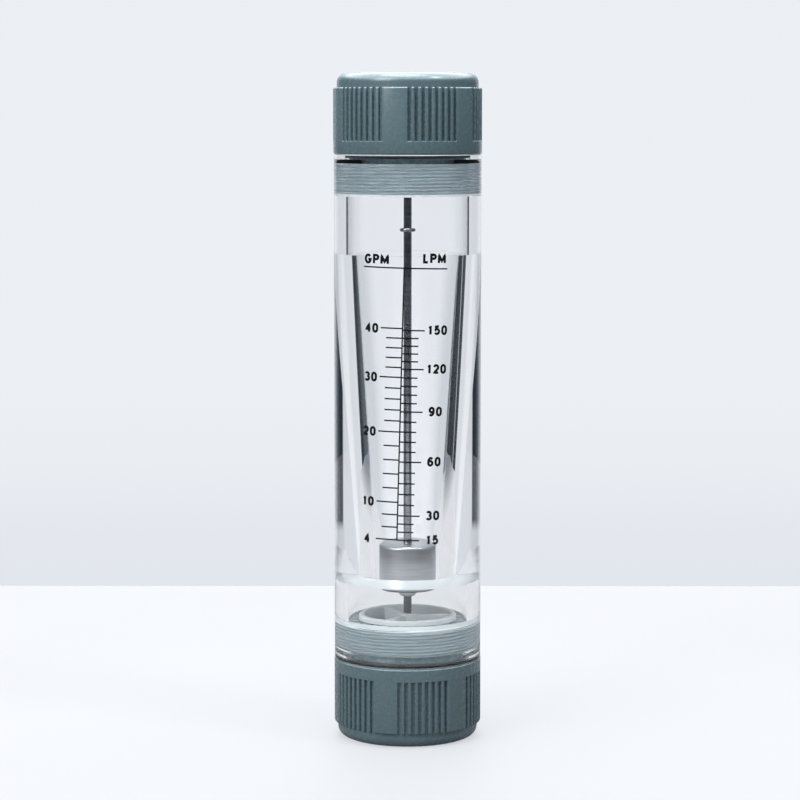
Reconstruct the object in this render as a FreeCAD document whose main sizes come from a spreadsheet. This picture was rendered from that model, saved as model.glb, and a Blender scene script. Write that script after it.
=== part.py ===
"""Inline rotameter: clear tapered tube, two moulded pipe fittings, guide rod and sliding float.

Millimetres and degrees. Origin at the centre of the lower fitting's end face, +Z up the tube,
the printed scale on the -Y side.
"""
import FreeCAD
import Part
import Sketcher
import math
import os

DIMENSIONS = {
    # clear tube
    "tube_diameter": 70.0,
    "tube_length": 241.0,
    "tube_end_bevel": 0.6,
    "seal_pocket_depth": 2.5,
    "thread_entry_height": 1.9,
    "chamber_wall": 6.5,
    "lower_chamber_depth": 37.5,
    "upper_chamber_depth": 47.1,
    "throat_diameter": 31.0,
    "throat_flare": 2.8,
    "mouth_diameter": 49.2,
    # moulded fitting
    "end_disc_inset": 1.65,
    "end_disc_height": 6.8,
    "end_disc_rounding": 4.3,
    "grip_ring_overhang": 0.15,
    "grip_ring_height": 31.0,
    "grip_ring_rounding": 0.7,
    "plug_clearance": 0.3,
    "plug_length": 19.2,
    "neck_relief": 0.6,
    "neck_length": 5.1,
    "plug_bevel": 1.6,
    "pipe_thread_diameter": 44.8,
    "pipe_thread_length": 25.0,
    "pipe_mouth_bevel": 1.6,
    "support_seat_wall": 4.6,
    "support_seat_ledge": 2.8,
    "lower_seat_depth": 6.8,
    "upper_seat_depth": 9.4,
    # grip grooves
    "groove_width": 1.6,
    "groove_depth": 1.3,
    "groove_step_angle": 5.35,
    "grooves_in_cluster": 8,
    "groove_clusters": 6,
    "smooth_band_height": 6.1,
    "lower_grip_turn": 23.7,
    "upper_grip_turn": 8.75,
    # seal ring
    "seal_section": 1.9,
    "seal_clearance": 0.05,
    # rod support
    "support_clearance": 0.1,
    "support_wall": 2.7,
    "support_height": 9.0,
    "support_rounding": 0.5,
    "hub_diameter": 9.0,
    "spoke_width": 3.0,
    "spoke_drop": 0.8,
    "spoke_count": 3,
    # guide rod and its stops
    "rod_diameter": 3.9,
    "rod_end_play": 0.2,
    "rod_bevel": 0.3,
    "foot_diameter": 4.3,
    "foot_inset": 0.4,
    "tip_diameter": 3.0,
    "tip_length": 7.0,
    "tip_clearance": 0.1,
    "stop_nut_width": 7.0,
    "stop_nut_height": 3.2,
    "stop_nut_clearance": 0.05,
    "stop_ring_section": 1.8,
    "stop_ring_clearance": 0.05,
    "stop_ring_depth": 35.9,
    # float
    "float_throat_gap": 1.8,
    "float_length": 22.4,
    "float_rest_height": 33.2,
    "float_bevel": 0.8,
    "float_bore_clearance": 0.25,
    # printed scale: heights above the tube's lower end, angles to the right of the front
    "gallons_4": 62.6,
    "gallons_10": 80.3,
    "gallons_20": 113.3,
    "gallons_30": 138.8,
    "gallons_40": 161.5,
    "litres_15": 62.2,
    "litres_30": 73.7,
    "litres_60": 99.0,
    "litres_90": 122.5,
    "litres_120": 142.4,
    "litres_150": 160.4,
    "ink_gap": 0.005,
    "ink_thickness": 0.06,
    "ink_width": 0.45,
    "scale_lean": 1.54,
    "scale_angle": -5.4,
    "scale_foot": 62.4,
    "header_height": 189.7,
    "header_angle": -1.85,
    "header_length": 41.0,
    "long_tick": 10.4,
    "short_tick": 7.6,
}

# Numbered lines on each side of the scale, from the lowest up.
GALLON_LINES = ("gallons_4", "gallons_10", "gallons_20", "gallons_30", "gallons_40")
LITRE_LINES = ("litres_15", "litres_30", "litres_60", "litres_90", "litres_120", "litres_150")
# Ticks from one numbered line to the next, that line included; the last count serves the rest.
TICKS_BETWEEN_LINES = (3, 5)

UP = FreeCAD.Vector(0, 0, 1)


class Size:
    """A value in millimetres or degrees together with the sheet formula that gives it."""

    def __init__(self, value, formula):
        self.value = value
        self.formula = formula

    def __add__(self, other):
        other = as_size(other)
        return Size(self.value + other.value, "(%s + %s)" % (self.formula, other.formula))

    def __sub__(self, other):
        other = as_size(other)
        return Size(self.value - other.value, "(%s - %s)" % (self.formula, other.formula))

    def __mul__(self, other):
        other = as_size(other)
        return Size(self.value * other.value, "(%s * %s)" % (self.formula, other.formula))

    def __truediv__(self, other):
        other = as_size(other)
        return Size(self.value / other.value, "(%s / %s)" % (self.formula, other.formula))


def as_size(item):
    """Let a plain number take part in a formula."""
    if isinstance(item, Size):
        return item
    return Size(float(item), repr(float(item)))


ZERO = as_size(0)

document = FreeCAD.newDocument("rotameter")
sheet = document.addObject("Spreadsheet::Sheet", "sizes")


def fill_sheet():
    """Write every driving dimension as a plain number with its own alias."""
    for row, (name, value) in enumerate(DIMENSIONS.items(), start=1):
        sheet.set("A%d" % row, name)
        sheet.set("B%d" % row, str(value))
        sheet.setAlias("B%d" % row, name)
    document.recompute()


def size(name):
    """The cell with this alias."""
    return Size(float(sheet.get(name)), "sizes." + name)


def bind(item, **properties):
    """Tie properties of a document object to sheet formulas."""
    for name, value in properties.items():
        item.setExpression(name, as_size(value).formula)


def place(item, height, turn=ZERO, flipped=False):
    """Set an object on the tube axis, turned about it, and upside down where it is flipped."""
    rotation = FreeCAD.Rotation(UP, turn.value)
    if flipped:
        rotation = rotation * FreeCAD.Rotation(FreeCAD.Vector(1, 0, 0), 180)
    item.Placement = FreeCAD.Placement(UP * height.value, rotation)
    item.setExpression("Placement.Base.z", height.formula)


def new_body(label):
    """An empty PartDesign body with its own label."""
    body = document.addObject("PartDesign::Body", label)
    body.Label = label
    return body


def origin_feature(body, role):
    """One of the body's own origin planes or axes."""
    return next(item for item in body.Origin.OriginFeatures if item.Role == role)


def outline(body, name, plane, corners):
    """A closed sketch of straight lines on an origin plane, each corner bound to the sheet."""
    sketch = body.newObject("Sketcher::SketchObject", name)
    sketch.AttachmentSupport = [(origin_feature(body, plane), "")]
    sketch.MapMode = "FlatFace"
    points = [FreeCAD.Vector(across.value, along.value, 0) for across, along in corners]
    count = len(points)
    for index in range(count):
        sketch.addGeometry(Part.LineSegment(points[index], points[(index + 1) % count]), False)
    for index in range(count):
        sketch.addConstraint(Sketcher.Constraint("Coincident", index, 2, (index + 1) % count, 1))
    for index, (across, along) in enumerate(corners):
        for kind, distance in (("DistanceX", across), ("DistanceY", along)):
            constraint = Sketcher.Constraint(kind, -1, 1, index, 1, distance.value)
            number = sketch.addConstraint(constraint)
            sketch.setExpression("Constraints[%d]" % number, distance.formula)
    return sketch


def circle(body, name, plane, diameter):
    """A sketch of one circle round the origin."""
    sketch = body.newObject("Sketcher::SketchObject", name)
    sketch.AttachmentSupport = [(origin_feature(body, plane), "")]
    sketch.MapMode = "FlatFace"
    sketch.addGeometry(Part.Circle(FreeCAD.Vector(), UP, diameter.value / 2), False)
    sketch.addConstraint(Sketcher.Constraint("Coincident", 0, 3, -1, 1))
    number = sketch.addConstraint(Sketcher.Constraint("Diameter", 0, diameter.value))
    sketch.setExpression("Constraints[%d]" % number, diameter.formula)
    return sketch


def revolve(body, name, corners):
    """Turn a closed outline of (radius, height) corners about the axis."""
    turned = body.newObject("PartDesign::Revolution", name)
    turned.Profile = outline(body, name + "_outline", "XZ_Plane", corners)
    turned.ReferenceAxis = (turned.Profile[0], ["V_Axis"])
    turned.Angle = 360
    document.recompute()
    return turned


def pad(body, name, sketch, length):
    """Raise a sketch by a length."""
    raised = body.newObject("PartDesign::Pad", name)
    raised.Profile = sketch
    bind(raised, Length=length)
    document.recompute()
    return raised


def round_edges(feature, radii_heights):
    """Names of the feature's round edges with these radii and heights."""
    names = []
    for number, edge in enumerate(feature.Shape.Edges, start=1):
        if not isinstance(edge.Curve, Part.Circle):
            continue
        for radius, height in radii_heights:
            same_radius = abs(edge.Curve.Radius - radius.value) < 1e-4
            if same_radius and abs(edge.Curve.Center.z - height.value) < 1e-4:
                names.append("Edge%d" % number)
    return names


def dress(body, kind, name, radii_heights, **properties):
    """Fillet or chamfer the round edges at these radii and heights of the body's tip."""
    base = body.Tip
    finish = body.newObject("PartDesign::" + kind, name)
    finish.Base = (base, round_edges(base, radii_heights))
    bind(finish, **properties)
    document.recompute()
    return finish


def radius(name):
    """Half of a named diameter."""
    return size(name) / 2


def chamber_radius():
    """Inside radius of the tube's end chambers."""
    return radius("tube_diameter") - size("chamber_wall")


def plug_radius():
    """Outside radius of the plug that goes into the tube's chamber."""
    return chamber_radius() - size("plug_clearance")


def neck_radius():
    """Outside radius of the plug's neck, which clears the end of the thread and carries the seal."""
    return plug_radius() - size("neck_relief")


def seal_pocket_radius():
    """Inside radius of the tube's end pockets, which hold the seals round the plugs' necks."""
    return neck_radius() + size("seal_clearance") * 2 + size("seal_section")


def seat_radius():
    """Inside radius of the recess in the plug's end that takes a rod support."""
    return plug_radius() - size("support_seat_wall")


def grip_ring_radius():
    """Outside radius of the grip ring, a little proud of the tube."""
    return radius("tube_diameter") + size("grip_ring_overhang")


def tip_bore_diameter():
    """Bore in a support's hub for the rod's tip."""
    return size("tip_diameter") + size("tip_clearance") * 2


def make_tube(tube_base):
    """Clear body: seal pockets, a chamber at each end and the tapered bore between them."""
    length = size("tube_length")
    pocket = size("seal_pocket_depth")
    entry = pocket + size("thread_entry_height")
    lower_ceiling = size("lower_chamber_depth")
    upper_floor = length - size("upper_chamber_depth")
    outer = radius("tube_diameter")
    seal = seal_pocket_radius()
    chamber = chamber_radius()
    body = new_body("tube_body")
    revolve(body, "tube_section", [
        (outer, ZERO),
        (outer, length),
        (seal, length),
        (seal, length - pocket),
        (chamber, length - entry),
        (chamber, upper_floor),
        (radius("mouth_diameter"), upper_floor),
        (radius("throat_diameter"), lower_ceiling + size("throat_flare")),
        (chamber, lower_ceiling),
        (chamber, entry),
        (seal, pocket),
        (seal, ZERO),
    ])
    dress(body, "Chamfer", "tube_end_bevels", [(outer, ZERO), (outer, length)],
          Size=size("tube_end_bevel"))
    place(body, tube_base)
    return body


def groove_pattern(body):
    """Clusters of upright grip grooves, open at the end disc and closed below the smooth band."""
    ring = grip_ring_radius()
    half_width = size("groove_width") / 2
    floor = ring - size("groove_depth")
    past_ring = ring + size("groove_depth")
    top = size("end_disc_height") + size("grip_ring_height") - size("smooth_band_height")
    groove = body.newObject("PartDesign::Pocket", "groove")
    groove.Profile = outline(body, "groove_outline", "XY_Plane", [
        (floor, ZERO - half_width),
        (past_ring, ZERO - half_width),
        (past_ring, half_width),
        (floor, half_width),
    ])
    groove.Reversed = True
    bind(groove, Length=top)
    document.recompute()
    pattern = body.newObject("PartDesign::MultiTransform", "grip_grooves")
    pattern.Originals = [groove]
    cluster_sweep = size("groove_step_angle") * (size("grooves_in_cluster") - 1)
    steps = []
    for name, sweep, count in (
        ("cluster", cluster_sweep, size("grooves_in_cluster")),
        ("round_ring", as_size(360), size("groove_clusters")),
    ):
        step = document.addObject("PartDesign::PolarPattern", name)
        body.addObject(step)
        step.Axis = (origin_feature(body, "Z_Axis"), [""])
        bind(step, Angle=sweep, Occurrences=count)
        steps.append(step)
    pattern.Transformations = steps
    body.Tip = pattern
    document.recompute()


def make_fitting(label, seat_depth):
    """One-piece moulding: end disc, grip ring, plug for the tube and the female pipe bore."""
    disc_top = size("end_disc_height")
    ring = grip_ring_radius()
    disc = ring - size("end_disc_inset")
    shoulder = disc_top + size("grip_ring_height")
    neck = neck_radius()
    neck_end = shoulder + size("neck_length")
    plug = plug_radius()
    plug_end = shoulder + size("plug_length")
    seat = seat_radius()
    flow = seat - size("support_seat_ledge")
    pipe = radius("pipe_thread_diameter")
    body = new_body(label)
    revolve(body, label + "_section", [
        (disc, ZERO),
        (disc, disc_top),
        (ring, disc_top),
        (ring, shoulder),
        (neck, shoulder),
        (neck, neck_end),
        (plug, neck_end),
        (plug, plug_end),
        (seat, plug_end),
        (seat, plug_end - seat_depth),
        (flow, plug_end - seat_depth),
        (flow, size("pipe_thread_length")),
        (pipe, size("pipe_thread_length")),
        (pipe, ZERO),
    ])
    dress(body, "Fillet", label + "_disc_rounding", [(disc, ZERO)],
          Radius=size("end_disc_rounding"))
    dress(body, "Fillet", label + "_ring_rounding", [(ring, disc_top), (ring, shoulder)],
          Radius=size("grip_ring_rounding"))
    dress(body, "Chamfer", label + "_plug_bevel", [(plug, plug_end)], Size=size("plug_bevel"))
    dress(body, "Chamfer", label + "_mouth_bevel", [(pipe, ZERO)], Size=size("pipe_mouth_bevel"))
    groove_pattern(body)
    return body


def make_support(label):
    """Open spider: outer ring, spokes and a hub that takes the rod's tip."""
    ring_outer = seat_radius() - size("support_clearance")
    ring_inner = ring_outer - size("support_wall")
    height = size("support_height")
    half_spoke = size("spoke_width") / 2
    ring_middle = ring_outer - size("support_wall") / 2
    body = new_body(label)
    pad(body, label + "_hub", circle(body, "hub_circle", "XY_Plane", size("hub_diameter")), height)
    spoke = pad(body, label + "_spoke", outline(body, "spoke_outline", "XY_Plane", [
        (ZERO, ZERO - half_spoke),
        (ring_middle, ZERO - half_spoke),
        (ring_middle, half_spoke),
        (ZERO, half_spoke),
    ]), height - size("spoke_drop"))
    spokes = body.newObject("PartDesign::PolarPattern", label + "_spokes")
    spokes.Originals = [spoke]
    spokes.Axis = (origin_feature(body, "Z_Axis"), [""])
    bind(spokes, Angle=as_size(360), Occurrences=size("spoke_count"))
    body.Tip = spokes
    document.recompute()
    revolve(body, label + "_ring", [
        (ring_inner, ZERO),
        (ring_outer, ZERO),
        (ring_outer, height),
        (ring_inner, height),
    ])
    dress(body, "Fillet", label + "_rim", [(ring_outer, height), (ring_inner, height)],
          Radius=size("support_rounding"))
    bore = body.newObject("PartDesign::Pocket", label + "_bore")
    bore.Profile = circle(body, "bore_circle", "XY_Plane", tip_bore_diameter())
    bore.Reversed = True
    bore.Type = "ThroughAll"
    document.recompute()
    return body


def make_seal(label, height):
    """O-ring round the plug's neck, against the fitting's shoulder and inside the tube's pocket."""
    seal = document.addObject("Part::Torus", label)
    seal.Label = label
    section = size("seal_section") / 2
    bind(seal, Radius1=neck_radius() + size("seal_clearance") + section, Radius2=section)
    place(seal, height)
    return seal


def make_rod(foot, head, stop):
    """Guide rod held between the two hubs by its tips, its thicker foot threaded for the stop nut."""
    rod = radius("rod_diameter")
    thread = radius("foot_diameter")
    tip = radius("tip_diameter")
    tip_length = size("tip_length")
    foot_end = tip_length + stop - foot - size("foot_inset")
    span = head - foot - size("rod_end_play")
    length = span + tip_length * 2
    body = new_body("guide_rod")
    revolve(body, "rod_section", [
        (ZERO, ZERO),
        (tip, ZERO),
        (tip, tip_length),
        (thread, tip_length),
        (thread, foot_end),
        (rod, foot_end),
        (rod, tip_length + span),
        (tip, tip_length + span),
        (tip, length),
        (ZERO, length),
    ])
    dress(body, "Chamfer", "rod_bevels", [(tip, ZERO), (tip, length)], Size=size("rod_bevel"))
    place(body, foot - tip_length)
    return body


def make_stop_nut(top):
    """Hexagonal nut on the threaded foot of the rod, its corners bevelled on both faces."""
    label = "lower_stop_nut"
    height = size("stop_nut_height")
    prism = document.addObject("Part::Prism", "nut_blank")
    prism.Polygon = 6
    bind(prism, Circumradius=size("stop_nut_width") / math.sqrt(3), Height=height)
    envelope = document.addObject("Part::Cylinder", "nut_envelope")
    bind(envelope, Radius=size("stop_nut_width") / math.sqrt(3), Height=height)
    document.recompute()
    bevelled = document.addObject("Part::Chamfer", "nut_bevels")
    bevelled.Base = envelope
    bevel = (size("stop_nut_width") / math.sqrt(3) - size("stop_nut_width") / 2).value
    rims = [number for number, edge in enumerate(envelope.Shape.Edges, start=1)
            if isinstance(edge.Curve, Part.Circle)]
    bevelled.Edges = [(number, bevel, bevel) for number in rims]
    crowned = document.addObject("Part::Common", "nut_crowned")
    crowned.Base = prism
    crowned.Tool = bevelled
    hole = document.addObject("Part::Cylinder", "nut_hole")
    bind(hole, Radius=radius("foot_diameter") + size("stop_nut_clearance"), Height=height)
    nut = document.addObject("Part::Cut", label)
    nut.Label = label
    nut.Base = crowned
    nut.Tool = hole
    place(nut, top - height)
    return nut


def make_stop_ring(height):
    """Round-section ring on the rod that ends the float's travel."""
    ring = document.addObject("Part::Torus", "upper_stop_ring")
    ring.Label = "upper_stop_ring"
    section = size("stop_ring_section") / 2
    inner = radius("rod_diameter") + size("stop_ring_clearance")
    bind(ring, Radius1=inner + section, Radius2=section)
    place(ring, height)
    return ring


def make_float(base):
    """Turned steel float that slides on the rod."""
    outer = radius("throat_diameter") - size("float_throat_gap")
    bore = radius("rod_diameter") + size("float_bore_clearance")
    length = size("float_length")
    body = new_body("float")
    revolve(body, "float_section", [
        (bore, ZERO),
        (outer, ZERO),
        (outer, length),
        (bore, length),
    ])
    dress(body, "Chamfer", "float_bevels", [(outer, ZERO), (outer, length)],
          Size=size("float_bevel"))
    place(body, base)
    return body


def ink_bar(angle, height, length, width):
    """A thin bar of ink that hugs the tube, level about its own middle and then leaned."""
    inner = radius("tube_diameter").value + size("ink_gap").value
    outer = inner + size("ink_thickness").value
    sweep = math.degrees(length / inner)
    corners = [
        FreeCAD.Vector(inner, 0, -width / 2),
        FreeCAD.Vector(outer, 0, -width / 2),
        FreeCAD.Vector(outer, 0, width / 2),
        FreeCAD.Vector(inner, 0, width / 2),
    ]
    face = Part.Face(Part.makePolygon(corners + corners[:1]))
    face.rotate(FreeCAD.Vector(), UP, -sweep / 2)
    bar = face.revolve(FreeCAD.Vector(), UP, sweep)
    bar.rotate(FreeCAD.Vector(inner, 0, 0), FreeCAD.Vector(1, 0, 0), -size("scale_lean").value)
    bar.rotate(FreeCAD.Vector(), UP, angle - 90)
    bar.translate(UP * height)
    return bar


def scale_line_angle(height):
    """Angle of the scale's upright line at a height, as the print leans."""
    middle = (size("scale_foot") + size("header_height")).value / 2
    sideways = (height - middle) * math.tan(math.radians(size("scale_lean").value))
    return size("scale_angle").value + math.degrees(sideways / radius("tube_diameter").value)


def tick_levels(lines):
    """Height of each tick of one scale, and whether it is one of the numbered lines."""
    numbered = [size(line).value for line in lines]
    levels = [(numbered[0], True)]
    for index, (low, high) in enumerate(zip(numbered, numbered[1:])):
        count = TICKS_BETWEEN_LINES[min(index, len(TICKS_BETWEEN_LINES) - 1)]
        rise = (high - low) / count
        levels += [(low + rise * step, step == count) for step in range(1, count + 1)]
    return levels


def tick_bars(lines, side):
    """Ticks of one scale, to the left (-1) or the right (1) of the upright line."""
    surface = radius("tube_diameter").value
    bars = []
    for level, numbered in tick_levels(lines):
        length = size("long_tick" if numbered else "short_tick").value
        offset = side * math.degrees(length / 2 / surface)
        bars.append(ink_bar(scale_line_angle(level) + offset, level, length,
                            size("ink_width").value))
    return bars


def make_scale(tube_base):
    """Printed scale: header line, upright line and the two rows of ticks."""
    foot = size("scale_foot").value
    head = size("header_height").value
    width = size("ink_width").value
    bars = tick_bars(GALLON_LINES, -1) + tick_bars(LITRE_LINES, 1)
    bars.append(ink_bar(scale_line_angle((foot + head) / 2), (foot + head) / 2, width, head - foot))
    bars.append(ink_bar(size("header_angle").value, head, size("header_length").value, width))
    marks = document.addObject("Part::Feature", "scale_marks")
    marks.Label = "scale_marks"
    marks.Shape = Part.makeCompound(bars)
    place(marks, tube_base)
    return marks


def build():
    """Make every sub-part where it sits in the assembly."""
    fill_sheet()
    tube_base = size("end_disc_height") + size("grip_ring_height")
    tube_top = tube_base + size("tube_length")
    top = tube_top + tube_base
    plug = size("plug_length")
    seal_rise = size("seal_section") / 2
    float_rest = tube_base + size("float_rest_height")
    lower_seat = tube_base + plug - size("lower_seat_depth")
    upper_seat = tube_top - plug + size("upper_seat_depth")

    lower_fitting = make_fitting("lower_fitting", size("lower_seat_depth"))
    place(lower_fitting, ZERO, turn=size("lower_grip_turn"))
    upper_fitting = make_fitting("upper_fitting", size("upper_seat_depth"))
    place(upper_fitting, top, turn=size("upper_grip_turn"), flipped=True)
    lower_support = make_support("lower_rod_support")
    place(lower_support, lower_seat)
    upper_support = make_support("upper_rod_support")
    place(upper_support, upper_seat, flipped=True)
    return [
        make_tube(tube_base),
        lower_fitting,
        upper_fitting,
        make_seal("lower_seal_ring", tube_base + seal_rise),
        make_seal("upper_seal_ring", tube_top - seal_rise),
        lower_support,
        upper_support,
        make_rod(lower_seat + size("support_height"), upper_seat - size("support_height"),
                 float_rest),
        make_stop_nut(float_rest),
        make_stop_ring(tube_top - size("stop_ring_depth")),
        make_float(float_rest),
        make_scale(tube_base),
    ]


def check(parts):
    """Stop if any object failed or any sub-part is not a valid solid."""
    document.recompute()
    failed = [item.Name for item in document.Objects
              if "Invalid" in item.State or "Error" in item.State]
    if failed:
        raise RuntimeError("failed objects: " + ", ".join(failed))
    for part in parts:
        if part.Shape.isNull() or not part.Shape.isValid() or not part.Shape.Solids:
            raise RuntimeError("bad shape: " + part.Label)


def write(parts):
    """Write one STEP file for each sub-part, named after its label."""
    os.makedirs("parts", exist_ok=True)
    for part in parts:
        part.Shape.exportStep(os.path.join("parts", part.Label + ".step"))
        box = part.Shape.BoundBox
        print("%-18s solids %2d  volume %9.1f  z %.2f to %.2f"
              % (part.Label, len(part.Shape.Solids), part.Shape.Volume, box.ZMin, box.ZMax))


sub_parts = build()
check(sub_parts)
write(sub_parts)
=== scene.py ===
"""Looks of the inline rotameter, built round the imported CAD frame. Metres and radians."""
import math

import bmesh
import bpy
from mathutils import Matrix, Vector


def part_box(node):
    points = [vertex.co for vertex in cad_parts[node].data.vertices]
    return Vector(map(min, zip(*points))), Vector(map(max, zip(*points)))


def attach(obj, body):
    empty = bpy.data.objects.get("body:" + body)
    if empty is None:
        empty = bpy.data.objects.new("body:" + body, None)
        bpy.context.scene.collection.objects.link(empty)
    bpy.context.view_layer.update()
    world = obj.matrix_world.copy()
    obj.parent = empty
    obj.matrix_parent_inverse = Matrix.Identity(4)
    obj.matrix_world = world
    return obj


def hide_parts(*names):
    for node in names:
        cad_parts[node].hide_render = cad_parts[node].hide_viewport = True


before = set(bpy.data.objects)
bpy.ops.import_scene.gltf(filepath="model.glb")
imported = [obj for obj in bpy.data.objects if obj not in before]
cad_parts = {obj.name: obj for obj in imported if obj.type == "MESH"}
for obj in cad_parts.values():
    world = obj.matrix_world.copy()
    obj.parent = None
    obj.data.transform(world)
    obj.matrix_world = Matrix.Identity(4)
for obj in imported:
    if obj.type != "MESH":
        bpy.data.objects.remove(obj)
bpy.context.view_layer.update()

MM = 0.001
METER = "meter_body"
FLOAT = "float_body"

# Camera: a long lens near the height of the meter's top, tilted down a little
LENS = 119.1
SENSOR = 36.0
EYE_DISTANCE = 1257 * MM
EYE_HEIGHT = 293.9 * MM
EYE_PITCH = math.radians(6.004)
EYE_YAW = math.radians(0.165)

# Tube. The pale run is the innermost part of the lower thread, which gets the near-white finish of the end
# faces: cut haze, partly a painted glow of bright light there.
POCKET_RADIUS = 29.6 * MM
POCKET_DEPTH = 2.5 * MM
ENTRY_HEIGHT = 1.9 * MM
CHAMBER_RADIUS = 28.5 * MM
LOWER_CHAMBER = 37.5 * MM
UPPER_CHAMBER = 47.1 * MM
THROAT_RADIUS = 15.5 * MM
THROAT_FLARE = 2.8 * MM
MOUTH_RADIUS = 24.6 * MM
TUBE_BEVEL = 0.6 * MM
THREAD_RUN_OUT = 1.2 * MM
PALE_RUN = 2.2 * MM

# The tube's finishes, in the order of its material slots
POLISHED = 0
THREADED = 1
# The faced finish is near-white cut haze, partly a painted glow of light piped through and reflected inside
# the acrylic
FACED_PAINTED_GLOW = 2

# Fitting, heights from its end face
DISC_HEIGHT = 6.8 * MM
DISC_INSET = 1.65 * MM
DISC_ROUNDING = 4.3 * MM
DISC_ROUNDING_STEPS = 10
RING_ROUNDING = 0.7 * MM
RING_ROUNDING_STEPS = 4
NECK_RADIUS = 27.6 * MM
NECK_LENGTH = 5.1 * MM
PLUG_TIP_RADIUS = 27.0 * MM
PLUG_TIP_SLOPE = 1.15
THREAD_EDGE = 0.2 * MM
SEAT_RADIUS = 23.6 * MM
SEAT_DEPTHS = {"lower_fitting": 6.8 * MM, "upper_fitting": 9.4 * MM}
FLOW_RADIUS = 20.8 * MM
PIPE_RADIUS = 22.4 * MM
PIPE_DEPTH = 25.0 * MM
PIPE_BEVEL = 1.6 * MM
PIPE_THREAD_START = 0.1 * MM
SMOOTH_BAND = 6.1 * MM

# Grip grooves. Across one: share of its depth at a distance from its middle. At its blind end: share of
# its depth at a distance from the end, towards the tube.
GROOVE_DEPTH = 1.5 * MM
GROOVE_SHAPE = ((0.7 * MM, 1.0), (0.8 * MM, 0.36), (0.9 * MM, 0.18), (1.05 * MM, 0.06), (1.25 * MM, 0.0))
GROOVE_END = ((-0.4 * MM, 1.0), (-0.2 * MM, 1.0), (0, 0.15), (0.2 * MM, 0.0), (0.4 * MM, 0.0))
GROOVE_STEP = math.radians(5.35)
GROOVES_IN_CLUSTER = 8
CLUSTERS = 6
LAND_POINTS = 6
TURNS = {"lower_fitting": math.radians(23.7), "upper_fitting": math.radians(8.75)}

# Threads. The crest and the root are flat over these shares of the pitch.
THREAD_CREST = 0.16
THREAD_ROOT = 0.22
PLUG_PITCH = 25.4 / 16 * MM
PLUG_CREST = 29.3 * MM
PLUG_ROOT = 28.38 * MM
TUBE_THREAD_GAP = 0.12 * MM
TUBE_THREAD_TURNS = 8.5
PIPE_PITCH = 25.4 / 11 * MM
PIPE_THREAD_DEPTH = 1.3 * MM
ROD_PITCH = 0.8 * MM
ROD_THREAD_DEPTH = 0.38 * MM
ROD_THREAD_END_SLOPE = 0.5
ROWS_PER_TURN = 10

# Rod and float
ROD_RADIUS = 1.95 * MM
ROD_TIP_RADIUS = 1.5 * MM
ROD_TIP_LENGTH = 7.0 * MM
ROD_BEVEL = 0.3 * MM
ROD_POINTS = 48
FOOT_INSET = 0.4 * MM
FLOAT_CLEARANCE = 0.25 * MM
FLOAT_BEVEL = 0.8 * MM
FLOAT_EDGE = 0.15 * MM

# Printed scale: heights above the tube's lower end, angles to the right of the front
INK_GAP = 0.005 * MM
INK_THICKNESS = 0.06 * MM
INK_WIDTH = 0.66 * MM
SCALE_LEAN = math.radians(1.54)
SCALE_ANGLE = math.radians(-5.4)
SCALE_FOOT = 61.8 * MM
HEADER_HEIGHT = 188.75 * MM
HEADER_ANGLE = math.radians(-1.85)
HEADER_LENGTH = 41.0 * MM
LONG_TICK = 10.4 * MM
SHORT_TICK = 7.6 * MM

# Numbered lines: heights in millimetres. The scale has 3 steps in its first gap and 5 in each other gap.
GALLON_LINES = {"4": 62.0, "10": 79.7, "20": 112.7, "30": 138.2, "40": 160.95}
LITRE_LINES = {"15": 61.6, "30": 73.1, "60": 98.4, "90": 121.9, "120": 141.8, "150": 159.85}
STEPS_BETWEEN_LINES = (3, 5)

# Lettering. Headings: words, angle in degrees and height in millimetres. Reach: from the upright line to
# the middle of a numeral, on the left (-1) and on the right (1).
NUMERAL_HEIGHT = 4.6 * MM
HEADING_HEIGHT = 4.7 * MM
HEADINGS = (("GPM", -24.4, 192.9), ("LPM", 21.1, 193.1))
NUMERAL_REACH = {-1: 15.05 * MM, 1: 16.6 * MM}
PEN_SHARE = 0.25
LETTER_STRETCH = 1.12
LETTER_GAP = 0.55 * MM
BOW_STEPS = 12
MITRE_LIMIT = 0.7

# Points round a turned piece, and the angle beyond which its edges are sharp
FINE = 288
COARSE = 192
SHARP_EDGE = math.radians(30)

# Materials. Most of a noise lies within its span.
ACRYLIC_IOR = 1.49
PLASTIC_IOR = 1.52
NOISE_SPAN = (0.3, 0.7)


def srgb(red, green, blue):
    """Linear colour of an 8-bit screen colour."""
    linear = []
    for value in (red, green, blue):
        share = value / 255
        linear.append(share / 12.92 if share <= 0.04045 else ((share + 0.055) / 1.055) ** 2.4)
    return tuple(linear)


# Studio colours: the wall in gloss and through glass
WALL = srgb(234, 237, 243)
WALL_MIDDLE = srgb(244, 247, 252)
WALL_SIDE = srgb(218, 222, 229)
WALL_EDGE = srgb(204, 208, 215)

# The panels through glass. BLACK is the far side of the room in gloss too, and of the table through glass.
NIGHT = (0.005, 0.009, 0.016)
BLACK = (0.012, 0.018, 0.03)
DUSK = (0.075, 0.095, 0.12)
GREY = (0.16, 0.18, 0.2)
DIM = (0.07, 0.08, 0.095)

# The ceiling through glass and in gloss, the room in gloss, and the even light on matt surfaces
CEILING = (0.5, 0.53, 0.57)
SOFT_CEILING = (6.0, 6.1, 6.2)
ROOM = (0.1, 0.115, 0.13)
FILL = (0.13, 0.138, 0.146)

# The light on the pieces inside the tube: from below, from the front and from the back
INNER_LOW = (0.28, 0.32, 0.35)
INNER_FRONT = (2.2, 2.27, 2.35)
INNER_BACK = (0.5, 0.53, 0.56)

# The wall for the camera, from the table's edge (0) up (1)
WALL_STOPS = ((0.0, srgb(226, 230, 237)), (0.22, srgb(228, 231, 238)), (0.62, srgb(234, 237, 242)),
              (1.0, srgb(236, 239, 244)))

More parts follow.
